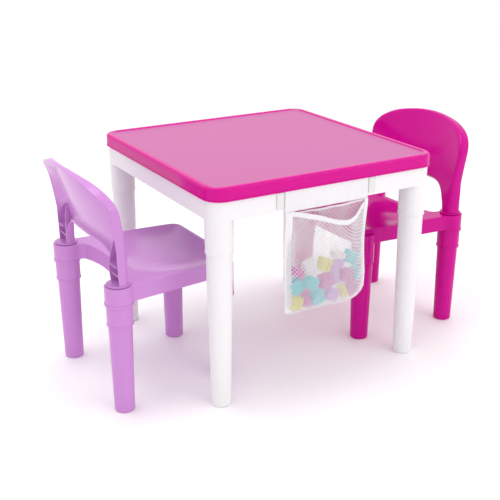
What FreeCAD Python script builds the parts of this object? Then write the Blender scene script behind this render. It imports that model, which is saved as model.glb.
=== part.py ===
import FreeCAD, Part
import math
import os

os.makedirs("parts", exist_ok=True)
Vec = FreeCAD.Vector
UP = Vec(0, 0, 1)

# ---------------------------------------------------------------- driving dimensions, mm
# The set stands on z = 0. The table's own centre is moved a little so that the whole set's
# box is centred on the origin: the net bag and the chairs stand out unevenly.
TABLE_AT = Vec(-7.2, 12.3, 0.0)

# lid
LID_HALF = 272.4           # half the side of the square lid
LID_CORNER = 36.0
LID_TOP = 475.0
LID_SKIRT = 27.6
LID_WALL = 2.7
LID_LIP = 0.8              # bead along the skirt's bottom edge
LID_LIP_HEIGHT = 3.0
LID_EDGE_ROUND = 6.0
RIM_WIDTH = 12.0           # flat rim round the tray
RIM_SLOPE = 4.0
TRAY_DEPTH = 3.0
TRAY_FLOOR = 3.5
LID_CEILING = LID_TOP - TRAY_DEPTH - TRAY_FLOOR

# frame and table legs
LEG_AT = 239.0             # leg axes at plus and minus this in x and y
SOCKET_TOP_R = 29.0
SOCKET_BOTTOM_R = 28.3
SOCKET_BOTTOM = 337.0
SOCKET_RING = 0.7
APRON_HALF = 268.2
APRON_WALL = 3.4
APRON_BOTTOM = 407.0
REST_GAP = 0.3             # under the lid's ceiling
APRON_TOP = LID_CEILING - REST_GAP
LEDGE_TOP = 455.0
LEDGE_WIDTH = 14.0
LEDGE_THICK = 3.0
LEDGE_CORNER = 12.0
RIB_HEIGHT = 15.0
RIB_THICK = 3.0
RIB_AT = 90.0
SOCKET_RING_HEIGHT = 3.0
SOCKET_STEP = 0.6          # the socket is this much slimmer inside the apron
SOCKET_WALL = 4.3
SOCKET_ROOF = 4.0
TABLE_LEG_FOOT_R = 21.0
TABLE_LEG_RING_R = 25.8
TABLE_LEG_RING = 0.6
TABLE_LEG_TOP_R = 26.5
TABLE_LEG_RING_Z = 275.0
TABLE_LEG_SPIGOT_R = 23.9
TABLE_LEG_TOP = 440.0

# building-block plate
PLATE_THICK = 4.0
STUD_PITCH = 16.0
STUD_ROWS = 28
STUD_R = 4.7
STUD_HEIGHT = 4.5
PLATE_GAP = 0.4

# chairs
SEAT_TOP = 276.0
RAIL_BOTTOM = 241.0
COLLAR_BOTTOM = 236.0
COLLAR_R = 28.4
COLLAR_RING = 1.2
REAR_LEG_X, REAR_LEG_Y = -122.0, 141.0
FRONT_LEG_X, FRONT_LEG_Y = 122.5, 116.7
SEAT_WALL = 3.2
SEAT_EDGE_ROUND = 1.8
COLLAR_WEB_R = 16.0        # hollow corner between a rear collar and the rails
COLLAR_CORE_R = 28.2
COLLAR_CORE_TOP = 273.0
SEAT_FRONT = 147.0
SEAT_FRONT_HALF = 132.5
SEAT_FRONT_CORNER = 24.0
SEAT_REAR_HALF = 157.5
REAR_RAIL_X = -77.0        # the rear rail is one arc between the collars
REAR_RAIL_HALF = 78.0
REAR_RAIL_R = 210.0
DISH_DEPTH = 11.0
DISH_STEPS = [(58, 0), (42, 1.0), (26, 3.2), (12, 6.8), (0, DISH_DEPTH + 0.2)]  # inset, height
SLEEVE_BOTTOM = 193.0
SLEEVE_R = 26.5
SLEEVE_RING = 0.9
SLEEVE_RING_HEIGHT = 2.5
CHAIR_SPIGOT = 14.0        # how far a chair leg plugs in
CHAIR_SPIGOT_R = 23.8
PLUG_GAP = 0.4             # round and above every plug
SHOULDER_GAP = 0.1         # between a sleeve's shoulder and the rim it meets
FOOT_FLOOR = 6.0
CHAIR_LEG_TOP_R = 24.2
CHAIR_LEG_FOOT_R = 21.0
FOOT_ROUND = 4.0
LEG_WALL = 2.5
POST_R = 23.0
POST_SPIGOT_R = 19.6
POST_SPIGOT_LOW = 226.0
RECLINE = 0.2              # how far the back leans for each unit of height
BACK_TOP = 494.0
BACK_BEND_Y = 60.0         # the wings bend forward outside this
BACK_BEND_R = 250.0
BACK_WING_SLOPE = 0.38     # at the crown
BACK_RIM_SLOPE = 0.27      # the flange's rear rim bends less, so the flange is deeper at the sides
BACK_POST_FRONT = 20.6     # front skin ahead of the post's axis, at BACK_POST_Y
BACK_POST_Y = 130.7
BACK_SKIN = 3.6
BACK_FLANGE = 10.0         # at the middle
POST_WALL = 3.0
POST_HEIGHT = 62.0
POST_OPEN = 8.0            # the post is cut away further than this behind its axis
DISC_R = 24.4
DISC_THICK = 2.8
BACK_HALF = 165.0
BACK_SIDE_TOP = 424.0
SHOULDER_TURN = (151.5, 458.0)
SHOULDER_HALF = 118.0
SHOULDER_DROP = 15.0
ARCH_FOOT = (112.0, 300.0)
ARCH_TURN = (84.0, 326.0)
ARCH_TOP = 352.0

# net bag, its header and the toy bricks; x is measured from the table's centre
BAG_LEFT, BAG_RIGHT = -108.0, 93.0
BAG_TOP, BAG_BOTTOM = 403.0, 181.0
BAG_PLANE = -(APRON_HALF + 1.6)
BAG_WALL = 1.6
# height, how far each side is drawn in, depth from front to back
BAG_ROWS = [(BAG_TOP, 0, 12), (340.0, 1, 34), (260.0, 2, 50), (205.0, 3, 48), (BAG_BOTTOM, 12, 24)]
MOUTH_HALF = 84.0
MOUTH_SAG = 40.0
MOUTH_SAG_X = 14.0
HEADER_THICK = 1.0
HEADER_OVERLAP = 2.0       # the header hangs this far below the apron
TUCK_TOP = 464.0           # the header and the clips reach this high under the lid
CLIP_HALF = 8.0
CLIP_THICK = 2.4
CLIP_BOTTOM = 413.0
CLIP_OFF = 11.0            # from the bag's side to a clip's middle
TONGUE_HALF = 5.0
TONGUE_THICK = 1.1
TONGUE_BOTTOM = 440.0
CLOTH_GAP = 0.2
BRICK_UNIT = 13.6
BRICK_HEIGHT = 17.0
BRICK_WALL = 1.6


# ---------------------------------------------------------------- shared shapes
def rounded_square(half, radius, z):
    """Closed wire of a square with rounded corners, centred on the Z axis."""
    flat = half - radius
    mid = half - radius * (1 - math.sqrt(0.5))
    edges = []
    for quarter in range(4):
        turn = FreeCAD.Rotation(UP, 90 * quarter)
        a, b = Vec(half, -flat, z), Vec(half, flat, z)
        c, d = Vec(mid, mid, z), Vec(flat, half, z)
        edges.append(Part.makeLine(turn.multVec(a), turn.multVec(b)))
        edges.append(Part.Arc(turn.multVec(b), turn.multVec(c), turn.multVec(d)).toShape())
    return Part.Wire(edges)


def square_block(half, radius, low, high):
    return Part.Face(rounded_square(half, radius, low)).extrude(Vec(0, 0, high - low))


def turned(profile, at=Vec(0, 0, 0)):
    """Solid turned about a vertical axis from (radius, height) points."""
    points = [Vec(r, 0, z) for r, z in profile]
    face = Part.Face(Part.makePolygon(points + [points[0]]))
    solid = face.revolve(Vec(0, 0, 0), UP, 360)
    solid.translate(at)
    return solid


def disc(radius, low, high, x, y):
    return Part.makeCylinder(radius, high - low, Vec(x, y, low))


def block(low, high):
    size = high.sub(low)
    return Part.makeBox(size.x, size.y, size.z, low)


def save(shape, node, at=None):
    """Write one node, moved from its own frame to its place in the set."""
    shape = shape.removeSplitter()
    if at is not None:
        shape.Placement = at.multiply(shape.Placement)
    for solid in shape.Solids:
        if not solid.isValid() or solid.Volume <= 0:
            raise ValueError(node + " has a bad solid")
    if len(shape.Solids) == 1:
        shape = shape.Solids[0]
    shape.exportStep("parts/" + node + ".step")
    box = shape.BoundBox
    print(node, len(shape.Solids), "x %.1f %.1f  y %.1f %.1f  z %.1f %.1f" %
          (box.XMin, box.XMax, box.YMin, box.YMax, box.ZMin, box.ZMax))


TABLE = FreeCAD.Placement(TABLE_AT, FreeCAD.Rotation())


# ---------------------------------------------------------------- table
def table_lid():
    """Tray lid: a shallow upturned box with a rounded rim and a sunken top panel."""
    bottom = LID_TOP - LID_SKIRT
    body = square_block(LID_HALF, LID_CORNER, bottom, LID_TOP)
    top_edges = [e for e in body.Edges if e.BoundBox.ZMin > LID_TOP - 0.01]
    body = body.makeFillet(LID_EDGE_ROUND, top_edges)
    lip = square_block(LID_HALF + LID_LIP, LID_CORNER + LID_LIP, bottom, bottom + LID_LIP_HEIGHT)
    body = body.fuse(lip)
    panel = LID_HALF - RIM_WIDTH - RIM_SLOPE
    radius = LID_CORNER - RIM_WIDTH
    tray = Part.makeLoft([rounded_square(panel, radius - RIM_SLOPE, LID_TOP - TRAY_DEPTH),
                          rounded_square(panel + RIM_SLOPE, radius, LID_TOP),
                          rounded_square(panel + RIM_SLOPE, radius, LID_TOP + 2)], True, True)
    hollow = square_block(LID_HALF - LID_WALL, LID_CORNER - LID_WALL, bottom - 1, LID_CEILING)
    return body.cut(tray).cut(hollow)


def block_plate():
    """Flat plate with a field of studs, which the lid covers."""
    half = APRON_HALF - APRON_WALL - PLATE_GAP
    top = LEDGE_TOP + PLATE_THICK
    corner = half - LEG_AT
    first = -STUD_PITCH * (STUD_ROWS - 1) / 2
    outline = rounded_square(half, corner, top)
    rings, shell = [], []
    for row in range(STUD_ROWS):
        for column in range(STUD_ROWS):
            foot = Vec(first + STUD_PITCH * column, first + STUD_PITCH * row, top)
            ring = Part.Wire(Part.makeCircle(STUD_R, foot, UP))
            side = ring.Edges[0].extrude(Vec(0, 0, STUD_HEIGHT))
            cap = Part.Face(Part.Wire(Part.makeCircle(STUD_R, foot.add(Vec(0, 0, STUD_HEIGHT)), UP)))
            rings.append(ring)
            shell += [side, cap]
    deck = Part.makeFace([outline] + rings, "Part::FaceMakerBullseye")
    slab = square_block(half, corner, LEDGE_TOP, top)
    shell += [f for f in slab.Faces if f.CenterOfMass.z < top - 0.01] + [deck]
    sewn = Part.makeShell(shell)
    sewn.sewShape()
    solid = Part.makeSolid(sewn)
    if solid.Volume < 0:
        solid.reverse()
    return solid


def table_frame():
    """Apron ring, plate ledge, under-ribs and four leg sockets in one moulding."""
    corner = APRON_HALF - LEG_AT
    inner = APRON_HALF - APRON_WALL
    ring = square_block(APRON_HALF, corner, APRON_BOTTOM, APRON_TOP)
    ring = ring.cut(square_block(inner, corner - APRON_WALL, APRON_BOTTOM - 1, APRON_TOP + 1))
    ledge_low = LEDGE_TOP - LEDGE_THICK
    ledge = square_block(inner + 1, corner - APRON_WALL + 1, ledge_low, LEDGE_TOP)
    ledge = ledge.cut(square_block(inner - LEDGE_WIDTH, LEDGE_CORNER, ledge_low - 1, LEDGE_TOP + 1))
    frame = ring.fuse(ledge)
    rib_low = LEDGE_TOP - RIB_HEIGHT
    near, far = RIB_AT - RIB_THICK / 2, RIB_AT + RIB_THICK / 2
    for low, high in ((-far, -near), (near, far)):
        along = block(Vec(-inner - 1, low, rib_low), Vec(inner + 1, high, LEDGE_TOP))
        across = block(Vec(low, -inner - 1, rib_low), Vec(high, inner + 1, LEDGE_TOP))
        frame = frame.fuse([along, across])
    ring_r = SOCKET_BOTTOM_R + SOCKET_RING
    ring_top = SOCKET_BOTTOM + SOCKET_RING_HEIGHT
    slim_r = SOCKET_TOP_R - SOCKET_STEP
    profile = [(0, SOCKET_BOTTOM), (ring_r, SOCKET_BOTTOM), (ring_r, ring_top),
               (SOCKET_BOTTOM_R, ring_top + 0.8), (SOCKET_TOP_R, APRON_BOTTOM + 0.5),
               (slim_r, APRON_BOTTOM + 0.5), (slim_r, LEDGE_TOP - 1), (0, LEDGE_TOP - 1)]
    spots = [(x, y) for x in (-LEG_AT, LEG_AT) for y in (-LEG_AT, LEG_AT)]
    for x, y in spots:
        frame = frame.fuse(turned(profile, Vec(x, y, 0)))
    bore = SOCKET_TOP_R - SOCKET_WALL - PLUG_GAP
    for x, y in spots:
        frame = frame.cut(disc(bore, SOCKET_BOTTOM - 1, LEDGE_TOP - SOCKET_ROOF, x, y))
    return frame


def hollow_leg(outer, bore_top, bore_low):
    """Turned leg, open at its top and closed at the foot, from its outer profile."""
    foot_r = outer[0][0]
    leg_top = outer[-1][1]
    rounded = [(0, 0)]
    for step in range(5):
        angle = math.radians(90 * step / 4)
        rounded.append((foot_r - FOOT_ROUND * (1 - math.sin(angle)),
                        FOOT_ROUND * (1 - math.cos(angle))))
    profile = rounded + outer[1:] + [(bore_top, leg_top), (bore_low, FOOT_FLOOR), (0, FOOT_FLOOR)]
    return turned(profile)


def table_leg():
    """Tapered leg with a ring, a shoulder that meets the socket and a long plug."""
    spigot = TABLE_LEG_SPIGOT_R
    shoulder = SOCKET_BOTTOM - SHOULDER_GAP
    outer = [(TABLE_LEG_FOOT_R, 0), (TABLE_LEG_RING_R, TABLE_LEG_RING_Z),
             (TABLE_LEG_RING_R + TABLE_LEG_RING, TABLE_LEG_RING_Z + 1),
             (TABLE_LEG_TOP_R, shoulder), (spigot, shoulder), (spigot, TABLE_LEG_TOP)]
    return hollow_leg(outer, spigot - LEG_WALL, TABLE_LEG_FOOT_R - LEG_WALL - 1)


# ---------------------------------------------------------------- chairs
def chair_leg():
    """Tapered leg with a stepped sleeve and a short plug, open inside for a post's spigot."""
    ring_r = SLEEVE_R + SLEEVE_RING
    ring_top = SLEEVE_BOTTOM + SLEEVE_RING_HEIGHT
    shoulder = COLLAR_BOTTOM - SHOULDER_GAP
    outer = [(CHAIR_LEG_FOOT_R, 0), (CHAIR_LEG_TOP_R, SLEEVE_BOTTOM),
             (ring_r, SLEEVE_BOTTOM), (ring_r, ring_top), (SLEEVE_R, ring_top + 0.7),
             (SLEEVE_R, shoulder), (CHAIR_SPIGOT_R, shoulder),
             (CHAIR_SPIGOT_R, COLLAR_BOTTOM + CHAIR_SPIGOT)]
    return hollow_leg(outer, POST_SPIGOT_R + PLUG_GAP, CHAIR_LEG_FOOT_R - LEG_WALL - 1)


def mirrored_wire(half, z):
    """Closed flat wire from (x, y) points of its +y half, rounded where a radius is given."""
    points = [Vec(x, y, z) for x, y, r in half]
    radii = [r for x, y, r in half]
    points += [Vec(p.x, -p.y, z) for p in reversed(points)]
    radii += list(reversed(radii))
    return rounded_wire(points, radii)


def rounded_wire(points, radii):
    """Closed wire of straight sides whose corners are arcs of the given radii."""
    count = len(points)
    arcs = []
    for i, corner in enumerate(points):
        to_last = points[i - 1].sub(corner).normalize()
        to_next = points[(i + 1) % count].sub(corner).normalize()
        half_angle = to_last.getAngle(to_next) / 2
        reach = radii[i] / math.tan(half_angle) if radii[i] else 0
        start, end = corner.add(to_last * reach), corner.add(to_next * reach)
        if radii[i]:
            inward = to_last.add(to_next).normalize()
            mid = corner.add(inward * (radii[i] / math.sin(half_angle) - radii[i]))
            arcs.append((start, mid, end))
        else:
            arcs.append((corner, None, corner))
    edges = []
    for i, (start, mid, end) in enumerate(arcs):
        if mid is not None:
            edges.append(Part.Arc(start, mid, end).toShape())
        following = arcs[(i + 1) % count][0]
        if end.distanceToPoint(following) > 1e-4:
            edges.append(Part.makeLine(end, following))
    return Part.Wire(edges)


def seat_outline(inset, z):
    """Plan of the seat body without its collars, drawn in by inset."""
    return mirrored_wire([(REAR_RAIL_X + inset, REAR_RAIL_HALF - inset, REAR_RAIL_R),
                          (-112 + inset, SEAT_REAR_HALF - inset, 6),
                          (SEAT_FRONT - inset, SEAT_FRONT_HALF - inset, SEAT_FRONT_CORNER - inset)], z)


def dish_outline(inset, z):
    """Plan of the scooped dish, drawn in by inset: it narrows to the rear between the collars."""
    shrink = 1 - inset / 90
    return mirrored_wire([(-64 + inset, 88 - inset, 30 * shrink),
                          (-30 + inset, 126 - inset * 0.9, 60 * shrink),
                          (60, 143 - inset, 60 * shrink),
                          (SEAT_FRONT - 6 - inset, 128 - inset, 20 * shrink)], z)


def is_web(edge):
    """True for an upright corner where a rear collar meets the rails."""
    box = edge.BoundBox
    spot = edge.CenterOfMass
    off_axis = math.hypot(spot.x - REAR_LEG_X, abs(spot.y) - REAR_LEG_Y)
    return box.XLength < 0.01 and box.YLength < 0.01 and abs(off_axis - COLLAR_R) < 0.1


def seat():
    """Moulded seat: deep rails, a scooped top, rear collars and front leg sockets."""
    body = Part.Face(seat_outline(0, RAIL_BOTTOM)).extrude(Vec(0, 0, SEAT_TOP - RAIL_BOTTOM))
    for side in (-1, 1):
        body = body.fuse(disc(COLLAR_R, RAIL_BOTTOM, SEAT_TOP, REAR_LEG_X, side * REAR_LEG_Y))
    body = body.removeSplitter()
    body = body.makeFillet(COLLAR_WEB_R, [e for e in body.Edges if is_web(e)])
    top_edges = [e for e in body.Edges if e.BoundBox.ZMin > SEAT_TOP - 0.01]
    body = body.makeFillet(SEAT_EDGE_ROUND, top_edges)
    floor = SEAT_TOP - DISH_DEPTH
    dish = Part.makeLoft([dish_outline(inset, floor + rise) for inset, rise in DISH_STEPS], True, False)
    hollow = Part.Face(seat_outline(SEAT_WALL, RAIL_BOTTOM - 1))
    hollow = hollow.extrude(Vec(0, 0, floor - SEAT_WALL - RAIL_BOTTOM + 1))
    body = body.cut(hollow)
    ring_r = COLLAR_R + COLLAR_RING
    collar = [(0, COLLAR_BOTTOM), (ring_r, COLLAR_BOTTOM), (ring_r, RAIL_BOTTOM - 0.8),
              (COLLAR_CORE_R, RAIL_BOTTOM), (COLLAR_CORE_R, COLLAR_CORE_TOP), (0, COLLAR_CORE_TOP)]
    leg_bore = CHAIR_SPIGOT_R + PLUG_GAP
    leg_bore_top = COLLAR_BOTTOM + CHAIR_SPIGOT + PLUG_GAP
    for side in (-1, 1):
        rear = Vec(REAR_LEG_X, side * REAR_LEG_Y, 0)
        front = Vec(FRONT_LEG_X, side * FRONT_LEG_Y, 0)
        socket = disc(SLEEVE_R, COLLAR_BOTTOM, floor - 1, front.x, front.y)
        body = body.fuse([turned(collar, rear), socket])
        for spot in (rear, front):
            body = body.cut(disc(leg_bore, COLLAR_BOTTOM - 1, leg_bore_top, spot.x, spot.y))
        body = body.cut(disc(POST_SPIGOT_R + PLUG_GAP, COLLAR_BOTTOM, SEAT_TOP + 1, rear.x, rear.y))
    return body.cut(dish)


def back_curve(behind, slope, z):
    """The back in plan at one height: a middle that curves into wings bent forward.

    The bend grows from almost nothing at the seat to its full slope at the crown.
    """
    growth = max(0.05, (z - SEAT_TOP) / (BACK_TOP - SEAT_TOP))
    bend = slope * growth
    post_x = REAR_LEG_X + BACK_POST_FRONT - RECLINE * (z - SEAT_TOP)
    centre_x = post_x - behind - BACK_WING_SLOPE * growth * (BACK_POST_Y - BACK_BEND_Y)
    wing_y = 190.0
    wing_x = centre_x + bend * (wing_y - BACK_BEND_Y)
    return [Vec(wing_x, wing_y, z), Vec(centre_x, BACK_BEND_Y, z),
            Vec(centre_x, -BACK_BEND_Y, z), Vec(wing_x, -wing_y, z)]


def back_slab(front, rear, rear_slope):
    """Leaning slab that follows the back's plan curve, from front to rear behind it."""
    wires = []
    bends = [0, BACK_BEND_R, BACK_BEND_R, 0]
    for z in (SEAT_TOP - 5, (SEAT_TOP + BACK_TOP) / 2, BACK_TOP + 20):
        points = back_curve(front, BACK_WING_SLOPE, z) + list(reversed(back_curve(rear, rear_slope, z)))
        wires.append(rounded_wire(points, bends + bends))
    return Part.makeLoft(wires, True, True)


def back_outline(inset):
    """Front view of the back: crowned top, round shoulders, an arch between the posts."""
    x = -300
    side, top = BACK_HALF - inset, BACK_TOP - inset

    def pair(y, z):
        return Vec(x, y, z), Vec(x, -y, z)

    foot, other_foot = pair(side - 1, ARCH_FOOT[1])
    hip, other_hip = pair(side, BACK_SIDE_TOP)
    turn, other_turn = pair(SHOULDER_TURN[0] - inset, SHOULDER_TURN[1])
    shoulder, other_shoulder = pair(SHOULDER_HALF - inset * 0.3, top - SHOULDER_DROP)
    arch_foot, other_arch_foot = pair(ARCH_FOOT[0] + inset, ARCH_FOOT[1])
    arch_turn, other_arch_turn = pair(ARCH_TURN[0] + inset, ARCH_TURN[1] + inset)
    edges = [Part.makeLine(foot, hip),
             Part.Arc(hip, turn, shoulder).toShape(),
             Part.Arc(shoulder, Vec(x, 0, top), other_shoulder).toShape(),
             Part.Arc(other_shoulder, other_turn, other_hip).toShape(),
             Part.makeLine(other_hip, other_foot),
             Part.makeLine(other_foot, other_arch_foot),
             Part.makeLine(other_arch_foot, other_arch_turn),
             Part.Arc(other_arch_turn, Vec(x, 0, ARCH_TOP + inset), arch_turn).toShape(),
             Part.makeLine(arch_turn, arch_foot),
             Part.makeLine(arch_foot, foot)]
    return Part.Face(Part.Wire(edges)).extrude(Vec(300, 0, 0))


def backrest():
    """Curved panel with edges turned back, on two half-round posts with plug-in spigots."""
    panel = back_outline(0).common(back_slab(0, BACK_FLANGE, BACK_RIM_SLOPE))
    panel = panel.cut(back_outline(BACK_SKIN).common(back_slab(BACK_SKIN, BACK_FLANGE + 30, BACK_RIM_SLOPE)))
    lean = Vec(-RECLINE * POST_HEIGHT, 0, POST_HEIGHT)
    for side in (-1, 1):
        foot = Vec(REAR_LEG_X, side * REAR_LEG_Y, SEAT_TOP + 0.2)
        round_face = Part.Face(Part.Wire(Part.makeCircle(POST_R, foot, UP)))
        bore_face = Part.Face(Part.Wire(Part.makeCircle(POST_R - POST_WALL, foot, UP)))
        reach = 2 * POST_R
        rear_half = block(Vec(foot.x - reach, foot.y - reach, foot.z - 1),
                          Vec(foot.x - POST_OPEN, foot.y + reach, foot.z + 1))
        post = round_face.cut(bore_face).cut(rear_half).extrude(lean)
        base = disc(DISC_R, foot.z, foot.z + DISC_THICK, foot.x, foot.y)
        spigot = disc(POST_SPIGOT_R, POST_SPIGOT_LOW, foot.z + 1, foot.x, foot.y)
        bore = disc(POST_SPIGOT_R - LEG_WALL, POST_SPIGOT_LOW - 1, foot.z, foot.x, foot.y)
        panel = panel.fuse([post, base, spigot.cut(bore)])
    return panel


# ---------------------------------------------------------------- net bag and bricks
def bag_section(z, half_width, depth, inset):
    """Lens-shaped plan of the bag at one height."""
    centre = (BAG_LEFT + BAG_RIGHT) / 2
    w, d = half_width - inset, depth / 2 - inset
    y = BAG_PLANE
    left, right = Vec(centre - w, y, z), Vec(centre + w, y, z)
    edges = []
    for sign in (-1, 1):
        a, b = (left, right) if sign < 0 else (right, left)
        quarter = 0.55 * w if sign < 0 else -0.55 * w
        poles = [a, Vec(a.x, y + sign * d * 0.8, z), Vec(centre - quarter, y + sign * d * 1.06, z),
                 Vec(centre + quarter, y + sign * d * 1.06, z), Vec(b.x, y + sign * d * 0.8, z), b]
        curve = Part.BSplineCurve()
        curve.buildFromPoles(poles, False, 3)
        edges.append(curve.toShape())
    return Part.Wire(edges)


def net_bag():
    """Open-topped pouch, plain walls of the knit's outer shape, its front edge sagging."""
    half = (BAG_RIGHT - BAG_LEFT) / 2
    centre = (BAG_LEFT + BAG_RIGHT) / 2
    inner_rows = list(BAG_ROWS)
    inner_rows[0] = (BAG_TOP + 1,) + BAG_ROWS[0][1:]
    inner_rows[-1] = (BAG_BOTTOM + BAG_WALL,) + BAG_ROWS[-1][1:]
    outer = Part.makeLoft([bag_section(z, half - draw, depth, 0) for z, draw, depth in BAG_ROWS],
                          True, False)
    inner = Part.makeLoft([bag_section(z, half - draw, depth, BAG_WALL)
                           for z, draw, depth in inner_rows], True, False)
    front = -400
    left, right = Vec(centre - MOUTH_HALF, front, BAG_TOP + 1), Vec(centre + MOUTH_HALF, front, BAG_TOP + 1)
    sag = Part.Arc(left, Vec(centre + MOUTH_SAG_X, front, BAG_TOP - MOUTH_SAG), right).toShape()
    outline = Part.Wire([sag, Part.makeLine(right, left)])
    mouth = Part.Face(outline).extrude(Vec(0, BAG_PLANE - front, 0))
    return outer.cut(inner).cut(mouth)


def bag_header():
    """Woven band in front of the apron, its upper edge tucked under the lid."""
    front = -(APRON_HALF + CLOTH_GAP + HEADER_THICK)
    return block(Vec(BAG_LEFT, front, APRON_BOTTOM - HEADER_OVERLAP),
                 Vec(BAG_RIGHT, front + HEADER_THICK, TUCK_TOP))


def bag_clip(x):
    """Clear clip beside the header, hooked up under the lid's skirt."""
    face = -(APRON_HALF + CLOTH_GAP)
    front = face - CLIP_THICK
    plate = block(Vec(x - CLIP_HALF, front, CLIP_BOTTOM),
                  Vec(x + CLIP_HALF, face, LID_TOP - LID_SKIRT - 1))
    plate = plate.makeFillet(1.0, [e for e in plate.Edges if e.BoundBox.YMax < front + 0.1])
    tongue = block(Vec(x - TONGUE_HALF, face - TONGUE_THICK, TONGUE_BOTTOM),
                   Vec(x + TONGUE_HALF, face, TUCK_TOP))
    return plate.fuse(tongue)


def brick(units_x, units_y):
    """Toy brick with studs on top, centred on its own middle."""
    size = Vec(units_x * BRICK_UNIT, units_y * BRICK_UNIT, BRICK_HEIGHT)
    room = Vec(size.x - 2 * BRICK_WALL, size.y - 2 * BRICK_WALL, size.z - BRICK_WALL)
    body = Part.makeBox(size.x, size.y, size.z, size * -0.5)
    hollow = Part.makeBox(room.x, room.y, room.z, Vec(-room.x / 2, -room.y / 2, -size.z / 2 - 0.01))
    body = body.cut(hollow)
    for i in range(units_x):
        for j in range(units_y):
            x = (i - (units_x - 1) / 2) * BRICK_UNIT
            y = (j - (units_y - 1) / 2) * BRICK_UNIT
            body = body.fuse(disc(STUD_R, size.z / 2 - 0.5, size.z / 2 + STUD_HEIGHT, x, y))
    return body


# colour, studs, place in the bag (x and y from its middle, z), tilt in the bag's plane, lean
BRICKS = [
    ("yellow", (2, 2), (-72, 0, 204), 17, 90), ("pink", (2, 1), (-44, 1, 203), 80, 92),
    ("cyan", (2, 2), (-17, 0, 204), -12, 90), ("lilac", (2, 2), (18, 0, 204), 24, 89),
    ("yellow", (2, 1), (48, 0, 204), 70, 90), ("pink", (2, 2), (74, 0, 206), -13, 90),
    ("cyan", (2, 2), (-72, -1, 240), -22, 91), ("cyan", (2, 2), (-34, 1, 240), 30, 88),
    ("pink", (2, 2), (2, -1, 238), -8, 90), ("lilac", (2, 1), (28, 2, 240), 84, 92),
    ("pink", (2, 2), (54, 0, 240), 15, 90), ("cyan", (2, 1), (81, 0, 241), 75, 90),
    ("pink", (2, 1), (-70, 1, 272), 24, 90), ("white", (2, 2), (-37, 1, 276), -12, 89),
    ("yellow", (2, 2), (-2, 0, 275), 24, 91), ("lilac", (2, 1), (30, 1, 269), -8, 90),
    ("cyan", (2, 2), (66, 1, 278), 28, 90), ("white", (2, 1), (33, 0, 289), 16, 90),
]


def bricks(colour):
    """The bricks of one colour, each lying in the bag with its studs to the front."""
    shapes = []
    for name, studs, (x, y, z), tilt, lean in BRICKS:
        if name == colour:
            shape = brick(*studs)
            turn = FreeCAD.Rotation(Vec(0, 1, 0), tilt).multiply(FreeCAD.Rotation(Vec(1, 0, 0), lean))
            middle = Vec((BAG_LEFT + BAG_RIGHT) / 2 + x, BAG_PLANE + 2.2 + y, z)
            shape.Placement = FreeCAD.Placement(middle, turn)
            shapes.append(shape)
    return Part.makeCompound(shapes)


# ---------------------------------------------------------------- write every node
save(table_lid(), "table_lid", TABLE)
save(block_plate(), "block_plate", TABLE)
save(table_frame(), "table_frame", TABLE)
for depth, y in (("front", -LEG_AT), ("back", LEG_AT)):
    for hand, x in (("left", -LEG_AT), ("right", LEG_AT)):
        spot = FreeCAD.Placement(TABLE_AT.add(Vec(x, y, 0)), FreeCAD.Rotation())
        save(table_leg(), "table_leg_" + depth + "_" + hand, spot)

# chair name, centre between its feet, heading of its front
CHAIRS = [("purple", Vec(-301.5, -14.9, 0), 1.2), ("magenta", Vec(315.7, -9.0, 0), 181.6)]
for name, centre, heading in CHAIRS:
    stand = FreeCAD.Placement(TABLE_AT.add(centre), FreeCAD.Rotation(UP, heading))
    save(seat(), name + "_seat", stand)
    save(backrest(), name + "_backrest", stand)
    for depth, x, reach in (("rear", REAR_LEG_X, REAR_LEG_Y), ("front", FRONT_LEG_X, FRONT_LEG_Y)):
        for hand, y in (("left", reach), ("right", -reach)):
            spot = stand.multiply(FreeCAD.Placement(Vec(x, y, 0), FreeCAD.Rotation()))
            save(chair_leg(), name + "_leg_" + depth + "_" + hand, spot)

save(net_bag(), "net_bag", TABLE)
save(bag_header(), "bag_header", TABLE)
save(bag_clip(BAG_LEFT - CLIP_OFF), "bag_clip_left", TABLE)
save(bag_clip(BAG_RIGHT + CLIP_OFF), "bag_clip_right", TABLE)
for colour in ("cyan", "yellow", "pink", "lilac", "white"):
    save(bricks(colour), "bricks_" + colour, TABLE)
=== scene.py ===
import bpy
import bmesh
import math
import numpy as np
from mathutils import Matrix, Vector


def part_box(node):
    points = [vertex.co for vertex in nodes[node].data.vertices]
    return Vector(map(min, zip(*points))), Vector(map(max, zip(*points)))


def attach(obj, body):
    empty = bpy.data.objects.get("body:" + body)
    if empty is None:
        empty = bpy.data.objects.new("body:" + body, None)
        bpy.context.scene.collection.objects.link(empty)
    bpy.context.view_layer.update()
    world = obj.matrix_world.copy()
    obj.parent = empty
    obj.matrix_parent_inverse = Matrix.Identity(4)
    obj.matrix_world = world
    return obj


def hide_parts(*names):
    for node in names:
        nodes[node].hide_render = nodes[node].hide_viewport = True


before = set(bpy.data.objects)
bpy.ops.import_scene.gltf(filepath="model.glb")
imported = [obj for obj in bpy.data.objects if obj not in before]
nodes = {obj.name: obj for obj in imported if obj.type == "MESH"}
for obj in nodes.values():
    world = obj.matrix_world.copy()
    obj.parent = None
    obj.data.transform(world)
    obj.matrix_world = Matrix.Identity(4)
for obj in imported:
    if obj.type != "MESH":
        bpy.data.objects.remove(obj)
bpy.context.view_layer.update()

bpy.ops.object.select_all(action="DESELECT")

# ---------------------------------------------------------------- camera
# A short telephoto view from beyond the front left corner of the table. It stands about twice
# as high as the lid, so the whole tray and both chairs show.
camera_at = Vector((-1.0287, -1.6882, 0.9704))
camera_looks_at = Vector((0.0868, 0.2259, 0.1281))
bpy.ops.object.camera_add(location=camera_at)
camera = bpy.context.object
camera.name = "studio_camera"
camera.rotation_euler = (camera_looks_at - camera_at).to_track_quat("-Z", "Y").to_euler()
camera.data.sensor_width = 36
camera.data.lens = 65.47
camera.data.clip_end = 100
bpy.context.scene.camera = camera

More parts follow.
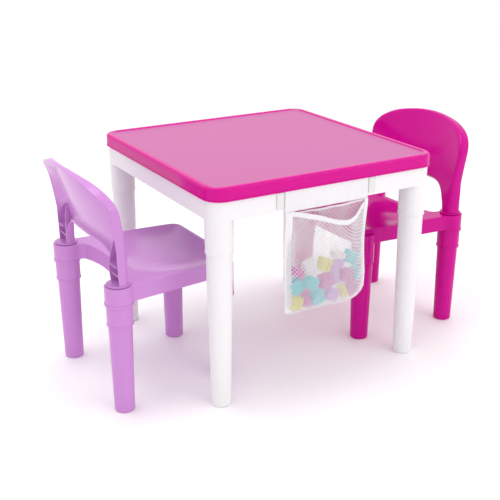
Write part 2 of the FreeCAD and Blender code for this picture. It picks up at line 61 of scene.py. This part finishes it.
# ---------------------------------------------------------------- studio
# A seamless white floor under a bright white room, with one broad light overhead and a long
# narrow one in front, so shadows stay pale and the rounded edges catch a thin highlight.
bpy.context.scene.view_settings.view_transform = "Standard"
room = bpy.data.worlds.new("white_room")
bpy.context.scene.world = room
room.use_nodes = True
room.node_tree.nodes["Background"].inputs["Color"].default_value = (1.0, 0.985, 0.99, 1)
room.node_tree.nodes["Background"].inputs["Strength"].default_value = 1.04

bpy.ops.mesh.primitive_plane_add(size=60)
floor = bpy.context.object
floor.name = "studio_floor"
floor_paint = bpy.data.materials.new("white_floor_paint")
floor_paint.use_nodes = True
paint = floor_paint.node_tree.nodes["Principled BSDF"]
paint.inputs["Base Color"].default_value = (0.985, 0.975, 0.98, 1)
paint.inputs["Roughness"].default_value = 0.6
floor.data.materials.append(floor_paint)


def softbox(name, at, towards, size, power):
    """Area light of the given width and height that faces a point."""
    bpy.ops.object.light_add(type="AREA", location=at)
    lamp = bpy.context.object
    lamp.name = name
    lamp.rotation_euler = (Vector(towards) - Vector(at)).to_track_quat("-Z", "Y").to_euler()
    lamp.data.shape = "RECTANGLE"
    lamp.data.size, lamp.data.size_y = size
    lamp.data.energy = power


softbox("overhead_softbox", (-0.4, 0.3, 2.6), (0, 0, 0.3), (1.2, 1.2), 18)
softbox("front_strip", (1.4, -2.8, 2.0), (0, 0, 0.3), (3.0, 0.10), 18)


# ---------------------------------------------------------------- lid
# The tray lid: one glossy magenta injection moulding with a satin sunken panel, whose paler pink base
# colour is painted sheen. It drops over the apron and lifts straight off.
def moulded_plastic(name, colour, roughness, peel, mottle, shine=0.3):
    """Opaque coloured plastic with faint orange peel, uneven gloss and a slight drift of colour."""
    finish = bpy.data.materials.new(name)
    finish.use_nodes = True
    tree = finish.node_tree
    shader = tree.nodes["Principled BSDF"]
    where = tree.nodes.new("ShaderNodeTexCoord")
    cloud = tree.nodes.new("ShaderNodeTexNoise")
    cloud.inputs["Scale"].default_value = 5.5
    cloud.inputs["Detail"].default_value = 4
    tree.links.new(where.outputs["Object"], cloud.inputs["Vector"])
    drift = tree.nodes.new("ShaderNodeMix")
    drift.data_type = "RGBA"
    drift.inputs["A"].default_value = [c * (1 - mottle) for c in colour] + [1]
    drift.inputs["B"].default_value = [min(1, c * (1 + mottle) + 0.004) for c in colour] + [1]
    tree.links.new(cloud.outputs["Fac"], drift.inputs["Factor"])
    tree.links.new(drift.outputs["Result"], shader.inputs["Base Color"])
    handled = tree.nodes.new("ShaderNodeTexNoise")
    handled.inputs["Scale"].default_value = 38
    handled.inputs["Detail"].default_value = 6
    tree.links.new(where.outputs["Object"], handled.inputs["Vector"])
    gloss = tree.nodes.new("ShaderNodeMapRange")
    gloss.inputs["To Min"].default_value = roughness * 0.86
    gloss.inputs["To Max"].default_value = roughness * 1.18
    tree.links.new(handled.outputs["Fac"], gloss.inputs["Value"])
    tree.links.new(gloss.outputs["Result"], shader.inputs["Roughness"])
    skin = tree.nodes.new("ShaderNodeTexNoise")
    skin.inputs["Scale"].default_value = 420
    skin.inputs["Detail"].default_value = 2
    tree.links.new(where.outputs["Object"], skin.inputs["Vector"])
    relief = tree.nodes.new("ShaderNodeBump")
    relief.inputs["Strength"].default_value = peel
    relief.inputs["Distance"].default_value = 0.0004
    tree.links.new(skin.outputs["Fac"], relief.inputs["Height"])
    tree.links.new(relief.outputs["Normal"], shader.inputs["Normal"])
    shader.inputs["Specular IOR Level"].default_value = shine
    return finish


def recoat(node, finish):
    """Give a CAD node one finish all over."""
    piece = nodes[node]
    piece.data.materials.clear()
    piece.data.materials.append(finish)


lid_gloss = moulded_plastic("lid_magenta_gloss", (0.60, 0.0, 0.25), roughness=0.12, peel=0.06,
                            mottle=0.03, shine=0.16)
panel_centre = (-0.0072, 0.0123)
panel_half = 0.2575
panel_lowest = 0.4705
# Paler pink on the panel: painted sheen, standing in for the white room's reflection in the satin surface.
panel_colour_with_painted_sheen = (0.50, 0.125, 0.33, 1)
panel_roughness = 0.42
tree = lid_gloss.node_tree
shader = tree.nodes["Principled BSDF"]
where = tree.nodes.new("ShaderNodeTexCoord")
split = tree.nodes.new("ShaderNodeSeparateXYZ")
tree.links.new(where.outputs["Object"], split.inputs["Vector"])


def maths(operation, first, second):
    """One arithmetic node whose inputs are numbers or other nodes' outputs."""
    node = tree.nodes.new("ShaderNodeMath")
    node.operation = operation
    for socket, value in zip(node.inputs, (first, second)):
        if isinstance(value, (int, float)):
            socket.default_value = value
        else:
            tree.links.new(value, socket)
    return node.outputs["Value"]


# The satin finish fills the square inside the rim, above the panel's underside: a higher roughness, and a
# paler pink that is painted sheen, the white room reflected in the satin.
on_panel = maths("GREATER_THAN", split.outputs["Z"], panel_lowest)
for axis, centre in zip("XY", panel_centre):
    offset = maths("SUBTRACT", split.outputs[axis], centre)
    inside = maths("LESS_THAN", maths("ABSOLUTE", offset, 0), panel_half)
    on_panel = maths("MULTIPLY", on_panel, inside)
for socket, panel_value in (("Base Color", panel_colour_with_painted_sheen), ("Roughness", panel_roughness)):
    moulded = shader.inputs[socket].links[0].from_socket
    blend = tree.nodes.new("ShaderNodeMix")
    blend.data_type = "RGBA" if socket == "Base Color" else "FLOAT"
    slots = [s for s in blend.inputs if s.enabled and s.name in ("A", "B")]
    tree.links.new(moulded, slots[0])
    slots[1].default_value = panel_value
    tree.links.new(on_panel, blend.inputs["Factor"])
    tree.links.new([s for s in blend.outputs if s.enabled][0], shader.inputs[socket])
recoat("table_lid", lid_gloss)

# ---------------------------------------------------------------- frame and table legs
# The apron ring with its four corner sockets, the hollow legs that push into them, and the
# studded plate that rests on a ledge under the lid: all satin white moulded plastic.
table_white = moulded_plastic("table_white_plastic", (0.80, 0.785, 0.80), roughness=0.30, peel=0.10,
                              mottle=0.012)
recoat("table_frame", table_white)
for corner in ("front_left", "front_right", "back_left", "back_right"):
    recoat("table_leg_" + corner, table_white)
recoat("block_plate", table_white)

# ---------------------------------------------------------------- chairs
# Seat, legs and back of each chair are separate mouldings of one coloured plastic. The legs
# push up into the seat's corners and the back plugs into its two rear collars.
purple_plastic = moulded_plastic("purple_chair_plastic", (0.56, 0.245, 0.60), roughness=0.2,
                                 peel=0.08, mottle=0.02, shine=0.28)
magenta_plastic = moulded_plastic("magenta_chair_plastic", (0.55, 0.0, 0.25), roughness=0.14,
                                  peel=0.08, mottle=0.03, shine=0.14)
chair_finish = {"purple": purple_plastic, "magenta": magenta_plastic}
for chair, finish in chair_finish.items():
    for part in ("seat", "backrest", "leg_rear_left", "leg_rear_right", "leg_front_left",
                 "leg_front_right"):
        recoat(chair + "_" + part, finish)

# ---------------------------------------------------------------- chair backs
# One moulding each: a reclined, gently hollowed panel with its edges turned back as a flange,
# and an arch between two half-round posts that are open to the rear. Each post stands on a
# disc and plugs into the seat's rear collar.
chair_stands = {"purple": ((-0.3087, -0.0026), 1.2), "magenta": ((0.3085, 0.0033), 181.6)}
seat_top = 0.276
post_at = Vector((-0.122, 0.141, 0))
back_foot = -0.1014
back_height = 0.218
back_half_width = 0.1307
back_recline = 0.2
back_hollow = 0.027
back_wall = 0.0032
rim_round = 0.0007
# Radius, underside and top of the disc and the plug under each post.
disc = (0.0244, 0.2772, 0.2802)
plug = (0.0205, 0.2600, 0.2775)
rib_size = (0.0150, 0.0300, 0.0020)
rib_set_back = 0.0065
rib_heights = (0.2985, 0.3185)


def sitting_surface(y, z):
    """How far forward the front of the back is, in the chair's own frame."""
    rise = z - seat_top
    hollow = back_hollow * max(0.0, rise) / back_height
    bow = float(np.interp(rise, [0.0, 0.034, 0.074, 0.124, 0.174, 0.218],
                          [-0.002, 0.0035, 0.0065, 0.0055, 0.004, 0.003]))
    return back_foot - back_recline * rise + hollow * ((y / back_half_width) ** 2 - 1) + bow


# Stations from one post's foot, over the shoulder, to the middle of the crown. Each gives the
# arch edge (y, z), the outer edge (y, z), the roundness of both corners, both flange depths and
# how far the flange's inner side slopes into the panel.
back_stations = [
    ((0.1185, 0.2790), (0.1630, 0.2790), 0.0205, 0.0205, 0.0245, 0.0250, 0.0),
    ((0.1172, 0.2930), (0.1630, 0.2930), 0.0205, 0.0205, 0.0250, 0.0260, 0.0),
    ((0.1145, 0.3080), (0.1628, 0.3110), 0.0185, 0.0200, 0.0240, 0.0265, 0.0),
    ((0.1122, 0.3235), (0.1622, 0.3350), 0.0120, 0.0170, 0.0170, 0.0260, 0.003),
    ((0.1060, 0.3370), (0.1620, 0.3600), 0.0075, 0.0135, 0.0120, 0.0245, 0.014),
    ((0.0960, 0.3460), (0.1630, 0.3900), 0.0060, 0.0125, 0.0110, 0.0240, 0.036),
    ((0.0830, 0.3510), (0.1642, 0.4190), 0.0055, 0.0125, 0.0105, 0.0240, 0.044),
    ((0.0720, 0.3530), (0.1620, 0.4385), 0.0055, 0.0125, 0.0105, 0.0250, 0.044),
    ((0.0610, 0.3538), (0.1520, 0.4550), 0.0055, 0.0125, 0.0105, 0.0265, 0.040),
    ((0.0490, 0.3540), (0.1335, 0.4690), 0.0055, 0.0110, 0.0105, 0.0260, 0.032),
    ((0.0370, 0.3542), (0.1060, 0.4805), 0.0055, 0.0080, 0.0105, 0.0215, 0.020),
    ((0.0240, 0.3542), (0.0720, 0.4880), 0.0055, 0.0060, 0.0105, 0.0165, 0.010),
    ((0.0120, 0.3542), (0.0360, 0.4925), 0.0055, 0.0050, 0.0105, 0.0125, 0.005),
    ((0.0000, 0.3542), (0.0000, 0.4940), 0.0055, 0.0050, 0.0105, 0.0112, 0.003)]


def flowing(rows, steps):
    """Rows of numbers with smooth in-between rows."""
    table = np.array([np.hstack(row) for row in rows])
    padded = np.vstack([table[:1], table, table[-1:]])
    out = []
    for i in range(len(table) - 1):
        a, b, c, d = padded[i:i + 4]
        for k in range(steps):
            t = k / steps
            out.append(0.5 * (2 * b + (c - a) * t + (2 * a - 5 * b + 4 * c - d) * t * t
                              + (3 * b - a - 3 * c + d) * t ** 3))
    out.append(table[-1])
    return out


def run(start, end, count):
    """Even steps along a straight line, without its end."""
    return [tuple(np.array(start) + (np.array(end) - start) * k / count) for k in range(count)]


def bend(centre, radius, start, end, count):
    """Even steps round an arc, without its end."""
    angles = [math.radians(start + (end - start) * k / count) for k in range(count)]
    return [(centre[0] + radius * math.cos(a), centre[1] - radius * math.sin(a)) for a in angles]


def channel_section(width, round_in, round_out, deep_in, deep_out, slope):
    """Closed C-shaped section as (across, depth) points, from the arch's rim round to itself."""
    wall, rim = back_wall, rim_round
    deep_in, deep_out = max(deep_in, wall + 0.0028), max(deep_out, wall + 0.0040)
    hollow_in = max(min(round_in - wall, deep_in - rim - wall - 0.0004), 0.0008)
    hollow_out = max(min(round_out - wall, deep_out - rim - wall - 0.0004), 0.0012)
    points = run((0, deep_in - rim), (0, round_in), 3)
    points += bend((round_in, round_in), round_in, 180, 90, 8)
    points += run((round_in, 0), (width - round_out, 0), 34)
    points += bend((width - round_out, round_out), round_out, 90, 0, 8)
    points += run((width, round_out), (width, deep_out - rim), 3)
    points += [(width, deep_out - rim), (width - rim, deep_out), (width - wall + rim, deep_out)]
    tube = run((width - wall, deep_out - rim), (width - wall, wall + hollow_out), 3)
    tube += bend((width - wall - hollow_out, wall + hollow_out), hollow_out, 0, 90, 8)
    sloped = run((width - wall, deep_out - rim), (width - wall - slope, wall), 11)
    share = min(1.0, slope / 0.012)
    points += [tuple(np.array(a) * (1 - share) + np.array(b) * share) for a, b in zip(tube, sloped)]
    reach = width - wall - hollow_out * (1 - share) - slope * share
    points += run((reach, wall), (wall + hollow_in, wall), 34)
    points += bend((wall + hollow_in, wall + hollow_in), hollow_in, 90, 180, 8)
    points += run((wall, wall + hollow_in), (wall, deep_in - rim), 3)
    points += [(wall, deep_in - rim), (wall - rim, deep_in), (rim, deep_in)]
    return points


def on_back(arch_edge, across, reach, depth):
    """Place a section point: across the back, and that deep behind its sitting surface.

    The rear sinks below the front at the crown, and more so along the arch's upper edge.
    """
    y, z = arch_edge + across * reach
    crown_droop = 0.5 * back_recline * min(1, max(0, (z - 0.375) / 0.05))
    arch_droop = 1.05 * max(0, 1 - reach / 0.014) * min(1, max(0, (arch_edge.y - 0.325) / 0.02))
    return (sitting_surface(y, z) - depth, y, z - depth * (crown_droop + arch_droop))


half_rings = []
for row in flowing(back_stations, 8):
    arch_edge, outer_edge = Vector(row[0:2]), Vector(row[2:4])
    width = (outer_edge - arch_edge).length
    across = (outer_edge - arch_edge).normalized()
    half_rings.append([on_back(arch_edge, across, reach, depth)
                       for reach, depth in channel_section(width, *row[4:9])])
rings = half_rings + [[(x, -y, z) for x, y, z in ring] for ring in reversed(half_rings[:-1])]

around = len(rings[0])
bpy.ops.mesh.primitive_grid_add(x_subdivisions=len(rings) - 1, y_subdivisions=around, size=1)
back = bpy.context.object
for vertex in back.data.vertices:
    station = round((vertex.co.x + 0.5) * (len(rings) - 1))
    step = round((vertex.co.y + 0.5) * around) % around
    vertex.co = rings[station][step]
bpy.ops.object.mode_set(mode="EDIT")
bpy.ops.mesh.select_all(action="SELECT")
bpy.ops.mesh.remove_doubles(threshold=0.00001)
bpy.ops.mesh.select_all(action="DESELECT")
bpy.ops.mesh.select_non_manifold()
bpy.ops.mesh.fill_holes(sides=0)
bpy.ops.mesh.select_all(action="SELECT")
bpy.ops.mesh.normals_make_consistent(inside=False)
bpy.ops.object.mode_set(mode="OBJECT")

# The disc and plug under each post, and two stiffening ribs across each open channel.
back_parts = [back]
for side in (1, -1):
    foot = Vector((post_at.x, side * post_at.y, 0))
    for radius, low, high in (disc, plug):
        bpy.ops.mesh.primitive_cylinder_add(vertices=64, radius=radius, depth=high - low,
                                            location=foot + Vector((0, 0, (low + high) / 2)))
        bpy.ops.object.modifier_add(type="BEVEL")
        bpy.context.object.modifiers["Bevel"].width = 0.0007
        bpy.context.object.modifiers["Bevel"].segments = 2
        bpy.ops.object.modifier_apply(modifier="Bevel")
        back_parts.append(bpy.context.object)
    for height in rib_heights:
        set_back = rib_set_back - back_recline * (height - seat_top)
        bpy.ops.mesh.primitive_cube_add(size=1, location=foot + Vector((set_back, 0, height)),
                                        scale=rib_size)
        bpy.ops.object.transform_apply(location=True, rotation=False, scale=True)
        back_parts.append(bpy.context.object)

# Each post's open channel ends in a leaf-shaped mouth: two thin walls that rise from a point on
# the panel's rear and run down to the channel's own rims.
leaf_tip = Vector((0.1300, 0.3700))
leaf_wall_thickness = 0.0022
for side in (1, -1):
    for bow_at, low_end in ((Vector((0.1500, 0.3640)), Vector((0.1608, 0.3300))),
                            (Vector((0.1230, 0.3500)), Vector((0.1165, 0.3100)))):
        bpy.ops.mesh.primitive_grid_add(x_subdivisions=24, y_subdivisions=3, size=1)
        leaf_wall = bpy.context.object
        for vertex in leaf_wall.data.vertices:
            t, deep = vertex.co.x + 0.5, vertex.co.y + 0.5
            y, z = leaf_tip * (1 - t) ** 2 + bow_at * 2 * t * (1 - t) + low_end * t * t
            # The wall grows out of the panel, and starts deeper where the post is round.
            start_depth = 0.0020 + 0.0120 * t ** 4
            rim_depth = 0.0036 + 0.0205 * t ** 0.8
            depth = start_depth + (rim_depth - start_depth) * deep
            vertex.co = (sitting_surface(y, z) - depth, side * y, z)
        bpy.ops.object.modifier_add(type="SOLIDIFY")
        leaf_wall.modifiers["Solidify"].thickness = leaf_wall_thickness
        leaf_wall.modifiers["Solidify"].offset = 0
        bpy.ops.object.modifier_apply(modifier="Solidify")
        back_parts.append(leaf_wall)

bpy.ops.object.select_all(action="DESELECT")
for piece in back_parts:
    piece.select_set(True)
bpy.context.view_layer.objects.active = back
bpy.ops.object.join()
bpy.ops.object.mode_set(mode="EDIT")
bpy.ops.mesh.select_all(action="SELECT")
bpy.ops.mesh.normals_make_consistent(inside=False)
bpy.ops.object.mode_set(mode="OBJECT")
bpy.ops.object.shade_smooth_by_angle(angle=math.radians(40))


def stand_on_chair(piece, chair):
    """Turn and move a mesh from the chair's own frame to where that chair stands."""
    (x, y), heading = chair_stands[chair]
    piece.data.transform(Matrix.Translation((x, y, 0)) @ Matrix.Rotation(math.radians(heading), 4, "Z"))


for chair, finish in chair_finish.items():
    panel = back.copy()
    panel.data = back.data.copy()
    panel.name = chair + "_back_panel"
    bpy.context.collection.objects.link(panel)
    stand_on_chair(panel, chair)
    panel.data.materials.clear()
    panel.data.materials.append(finish)
    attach(panel, chair + "_chair")
    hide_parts(chair + "_backrest")
bpy.data.objects.remove(back)

# ---------------------------------------------------------------- toy bricks
# Chunky hollow bricks with round studs, moulded in five plain colours. They lie loose and
# tumbled in the bottom of the bag.
brick_colours = {"cyan": (0.08, 0.68, 0.72), "yellow": (0.80, 0.74, 0.18), "pink": (0.66, 0.10, 0.48),
                 "lilac": (0.70, 0.40, 0.78), "white": (0.85, 0.84, 0.85)}
for colour, tint in brick_colours.items():
    brick_plastic = moulded_plastic(colour + "_brick_plastic", tint, roughness=0.3, peel=0.05, mottle=0.02)
    recoat("bricks_" + colour, brick_plastic)

# ---------------------------------------------------------------- net bag
# A pouch of white knitted net, folded at the bottom. Tape binds its sides and its mouth, which
# droops open in front. It hangs from the header.
bag_left, bag_right = -0.1152, 0.0858
bag_plane = -0.2575
bag_top, bag_bottom = 0.4035, 0.1815
mouth_droop = [(0.0, 0.0), (0.09, 0.001), (0.25, 0.009), (0.43, 0.020), (0.61, 0.033),
               (0.73, 0.038), (0.85, 0.029), (0.93, 0.010), (1.0, 0.0)]
bag_fullness = [(0.181, 0.004), (0.188, 0.014), (0.205, 0.0235), (0.25, 0.0255), (0.30, 0.021),
                (0.34, 0.0165), (0.375, 0.011), (0.404, 0.0045)]
net_columns = 24
net_rows = {-1: 26, 1: 28}
strand_thickness = 0.0019
mouth_tape_width, mouth_tape_drop = 0.0100, 0.0042
back_tape_width, back_tape_drop = 0.0045, 0.0012


def between(table, at):
    """Read a value off a list of (place, value) pairs."""
    return float(np.interp(at, [p for p, v in table], [v for p, v in table]))


def eased(table, at):
    """The same reading, averaged over a short stretch so that its corners are rounded."""
    return sum(between(table, at + d) for d in (-0.03, -0.015, 0, 0.015, 0.03)) / 5


def bag_point(across, down, side):
    """A point of the bag's front (side -1) or back (side 1), by shares of its width and height."""
    if side < 0:
        top = bag_top - eased(mouth_droop, across)
    else:
        top = bag_top - 0.0075 * math.sin(math.pi * across) ** 0.6
    # The bottom corners are drawn up, the right one more than the left.
    right_corner = max(0.0, (across - 0.80) / 0.20)
    left_corner = max(0.0, (0.07 - across) / 0.07)
    bottom = bag_bottom + 0.024 * right_corner ** 2.2 + 0.005 * left_corner ** 2
    z = top + (bottom - top) * down
    # Both sides wander a little and come in towards the bottom.
    narrowing = max(0.0, (0.26 - z) / 0.08)
    waist = math.sin(math.pi * min(1, max(0, (z - 0.24) / 0.15)))
    left = bag_left + 0.0025 * narrowing + 0.0015 * math.sin(z * 34)
    right = bag_right - 0.005 * waist - 0.004 * narrowing ** 2
    x = left + (right - left) * across
    # Front and back bulge apart in the middle and meet at the sides and the bottom fold.
    lens = max(0.0, 1 - abs(2 * across - 1) ** 3.2) ** 0.7
    closing = math.sqrt(max(0.0, 1 - max(0.0, (down - 0.93) / 0.07) ** 2))
    full = between(bag_fullness, z) * lens * closing
    # Soft folds fall from the mouth, and bricks push small lumps into the lower part.
    folds = 0.0016 * math.sin(23 * across + 5 * down + side) * math.exp(-(down / 0.5) ** 2)
    lumps = 0.0013 * math.sin(x * 150 + side) * math.sin(z * 170) * max(0.0, min(1, (0.30 - z) / 0.03))
    y = bag_plane + side * full + (folds + lumps) * lens * closing
    return (x, y, z)


def white_textile(name, tint, roughness, thread_scale, relief_depth, sheen):
    """White polyester textile: a fine thread pattern, soft sheen and a faint uneven whiteness."""
    cloth = bpy.data.materials.new(name)
    cloth.use_nodes = True
    tree = cloth.node_tree
    shader = tree.nodes["Principled BSDF"]
    where = tree.nodes.new("ShaderNodeTexCoord")
    warp = tree.nodes.new("ShaderNodeTexWave")
    warp.bands_direction = "X"
    warp.inputs["Scale"].default_value = thread_scale
    warp.inputs["Distortion"].default_value = 0.6
    tree.links.new(where.outputs["Object"], warp.inputs["Vector"])
    weft = tree.nodes.new("ShaderNodeTexWave")
    weft.bands_direction = "Z"
    weft.inputs["Scale"].default_value = thread_scale
    weft.inputs["Distortion"].default_value = 0.6
    tree.links.new(where.outputs["Object"], weft.inputs["Vector"])
    threads = tree.nodes.new("ShaderNodeMath")
    threads.operation = "MULTIPLY"
    tree.links.new(warp.outputs["Fac"], threads.inputs[0])
    tree.links.new(weft.outputs["Fac"], threads.inputs[1])
    cloud = tree.nodes.new("ShaderNodeTexNoise")
    cloud.inputs["Scale"].default_value = 26
    cloud.inputs["Detail"].default_value = 5
    tree.links.new(where.outputs["Object"], cloud.inputs["Vector"])
    shade = tree.nodes.new("ShaderNodeMix")
    shade.data_type = "RGBA"
    shade.inputs["A"].default_value = [c * 0.94 for c in tint] + [1]
    shade.inputs["B"].default_value = list(tint) + [1]
    tree.links.new(cloud.outputs["Fac"], shade.inputs["Factor"])
    tree.links.new(shade.outputs["Result"], shader.inputs["Base Color"])
    relief = tree.nodes.new("ShaderNodeBump")
    relief.inputs["Strength"].default_value = relief_depth
    relief.inputs["Distance"].default_value = 0.0005
    tree.links.new(threads.outputs["Value"], relief.inputs["Height"])
    tree.links.new(relief.outputs["Normal"], shader.inputs["Normal"])
    shader.inputs["Roughness"].default_value = roughness
    shader.inputs["Specular IOR Level"].default_value = 0.3
    shader.inputs["Sheen Weight"].default_value = sheen
    shader.inputs["Sheen Roughness"].default_value = 0.4
    return cloth


net_yarn = white_textile("net_yarn", (0.97, 0.945, 0.97), 0.8, 900, 0.2, 0.3)
tape_weave = white_textile("tape_weave", (0.86, 0.84, 0.87), 0.75, 520, 0.45, 0.2)

# The knit: each square of a grid is split from its middle and the square's own edges are taken
# out, which leaves diamonds. A wireframe then turns every edge into a strand.
net_panels = []
for side, rows in net_rows.items():
    bpy.ops.mesh.primitive_grid_add(x_subdivisions=net_columns, y_subdivisions=rows, size=1)
    panel = bpy.context.object
    bpy.ops.object.mode_set(mode="EDIT")
    bpy.ops.mesh.select_all(action="SELECT")
    knit = bmesh.from_edit_mesh(panel.data)
    ground = [e for e in knit.edges if not e.is_boundary]
    bmesh.ops.poke(knit, faces=knit.faces)
    bmesh.ops.dissolve_edges(knit, edges=ground, use_verts=False)
    bmesh.update_edit_mesh(panel.data)
    bpy.ops.object.mode_set(mode="OBJECT")
    for vertex in panel.data.vertices:
        vertex.co = bag_point(vertex.co.x + 0.5, 0.5 - vertex.co.y, side)
    net_panels.append(panel)
bpy.ops.object.select_all(action="DESELECT")
for panel in net_panels:
    panel.select_set(True)
bpy.context.view_layer.objects.active = net_panels[0]
bpy.ops.object.join()
bag_net = bpy.context.object
bag_net.name = "bag_net"
bpy.ops.object.modifier_add(type="WIREFRAME")
strands = bag_net.modifiers["Wireframe"]
strands.thickness = strand_thickness
strands.use_even_offset = False
strands.use_boundary = True
bpy.ops.object.modifier_apply(modifier="Wireframe")
bag_net.data.materials.append(net_yarn)
for face in bag_net.data.polygons:
    face.use_smooth = True


def tape(name, line, width, thickness):
    """Flat woven tape, wide along each pair's second vector and stood off by half its thickness."""
    count = len(line)
    bpy.ops.mesh.primitive_grid_add(x_subdivisions=count - 1, y_subdivisions=4, size=1)
    strip = bpy.context.object
    strip.name = name
    for vertex in strip.data.vertices:
        middle, wide = line[int(round((vertex.co.x + 0.5) * (count - 1)))]
        vertex.co = Vector(middle) + Vector(wide) * vertex.co.y * width
    bpy.ops.object.modifier_add(type="SOLIDIFY")
    strip.modifiers["Solidify"].thickness = thickness
    strip.modifiers["Solidify"].offset = 0
    bpy.ops.object.modifier_apply(modifier="Solidify")
    bpy.ops.object.modifier_add(type="BEVEL")
    strip.modifiers["Bevel"].width = thickness * 0.3
    strip.modifiers["Bevel"].segments = 2
    bpy.ops.object.modifier_apply(modifier="Bevel")
    bpy.ops.object.mode_set(mode="EDIT")
    bpy.ops.mesh.select_all(action="SELECT")
    bpy.ops.mesh.normals_make_consistent(inside=False)
    bpy.ops.object.mode_set(mode="OBJECT")
    bpy.ops.object.shade_smooth_by_angle(angle=math.radians(40))
    strip.data.materials.append(tape_weave)
    return strip


steps = [k / 60 for k in range(61)]
mouth_line = []
for k in steps:
    edge, below = Vector(bag_point(k, 0, -1)), Vector(bag_point(k, 0.06, -1))
    wide = (below - edge).normalized()
    mouth_line.append((edge + wide * mouth_tape_drop + Vector((0, -0.0006, 0)), wide))
mouth_tape = tape("bag_mouth_tape", mouth_line, mouth_tape_width, 0.0013)
back_line = []
for k in steps:
    edge, below = Vector(bag_point(k, 0, 1)), Vector(bag_point(k, 0.06, 1))
    wide = (below - edge).normalized()
    back_line.append((edge + wide * back_tape_drop, wide))
back_tape = tape("bag_back_tape", back_line, back_tape_width, 0.0012)
side_tapes = []
for name, across, inward, width in (("bag_side_tape_left", 0.0, 1, 0.0150),
                                    ("bag_side_tape_right", 1.0, -1, 0.0105)):
    line = []
    for k in steps:
        edge = Vector(bag_point(across, k, 1))
        wide = Vector((1, -0.25 * inward, 0)).normalized()
        line.append((edge + Vector((inward * (width / 2 - 0.001), -0.0005 - width * 0.22, 0)), wide))
    side_tapes.append(tape(name, line, width, 0.0014))
bag_pieces = [mouth_tape, back_tape] + side_tapes
for piece in bag_pieces:
    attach(piece, "bag")
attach(bag_net, "bag")
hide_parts("net_bag")

# ---------------------------------------------------------------- bag header
# A doubled band of woven polyester across the front of the apron. Its top edge is tucked up
# under the lid and its bottom edge carries the bag.
header_low, header_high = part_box("bag_header")
header_thickness = 0.0009
header_hem = 0.0015
bpy.ops.mesh.primitive_grid_add(x_subdivisions=60, y_subdivisions=18, size=1)
header = bpy.context.object
header.name = "bag_header_band"
for vertex in header.data.vertices:
    across, up = vertex.co.x + 0.5, vertex.co.y + 0.5
    slack = 0.0007 * math.sin(across * 21) * (1 - up) + 0.0005 * math.sin(across * 47 + up * 4) * (1 - up)
    vertex.co = (header_low.x + (header_high.x - header_low.x) * across,
                 header_low.y - 0.0002 - abs(slack),
                 header_low.z - header_hem + (header_high.z - header_low.z + header_hem) * up)
bpy.ops.object.modifier_add(type="SOLIDIFY")
header.modifiers["Solidify"].thickness = header_thickness
header.modifiers["Solidify"].offset = 0
bpy.ops.object.modifier_apply(modifier="Solidify")
bpy.ops.object.mode_set(mode="EDIT")
bpy.ops.mesh.select_all(action="SELECT")
bpy.ops.mesh.normals_make_consistent(inside=False)
bpy.ops.object.mode_set(mode="OBJECT")
bpy.ops.object.shade_smooth_by_angle(angle=math.radians(40))
header.data.materials.append(tape_weave)
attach(header, "table")
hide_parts("bag_header")

# ---------------------------------------------------------------- bag clips
# Two clear moulded clips that pinch the header's ends against the apron.
clip_plastic = bpy.data.materials.new("clear_clip_plastic")
clip_plastic.use_nodes = True
tree = clip_plastic.node_tree
shader = tree.nodes["Principled BSDF"]
where = tree.nodes.new("ShaderNodeTexCoord")
haze = tree.nodes.new("ShaderNodeTexNoise")
haze.inputs["Scale"].default_value = 160
tree.links.new(where.outputs["Object"], haze.inputs["Vector"])
tone = tree.nodes.new("ShaderNodeMix")
tone.data_type = "RGBA"
tone.inputs["A"].default_value = (0.80, 0.80, 0.81, 1)
tone.inputs["B"].default_value = (0.90, 0.90, 0.90, 1)
tree.links.new(haze.outputs["Fac"], tone.inputs["Factor"])
tree.links.new(tone.outputs["Result"], shader.inputs["Base Color"])
shader.inputs["Roughness"].default_value = 0.15
shader.inputs["Transmission Weight"].default_value = 0.2
for side in ("left", "right"):
    recoat("bag_clip_" + side, clip_plastic)
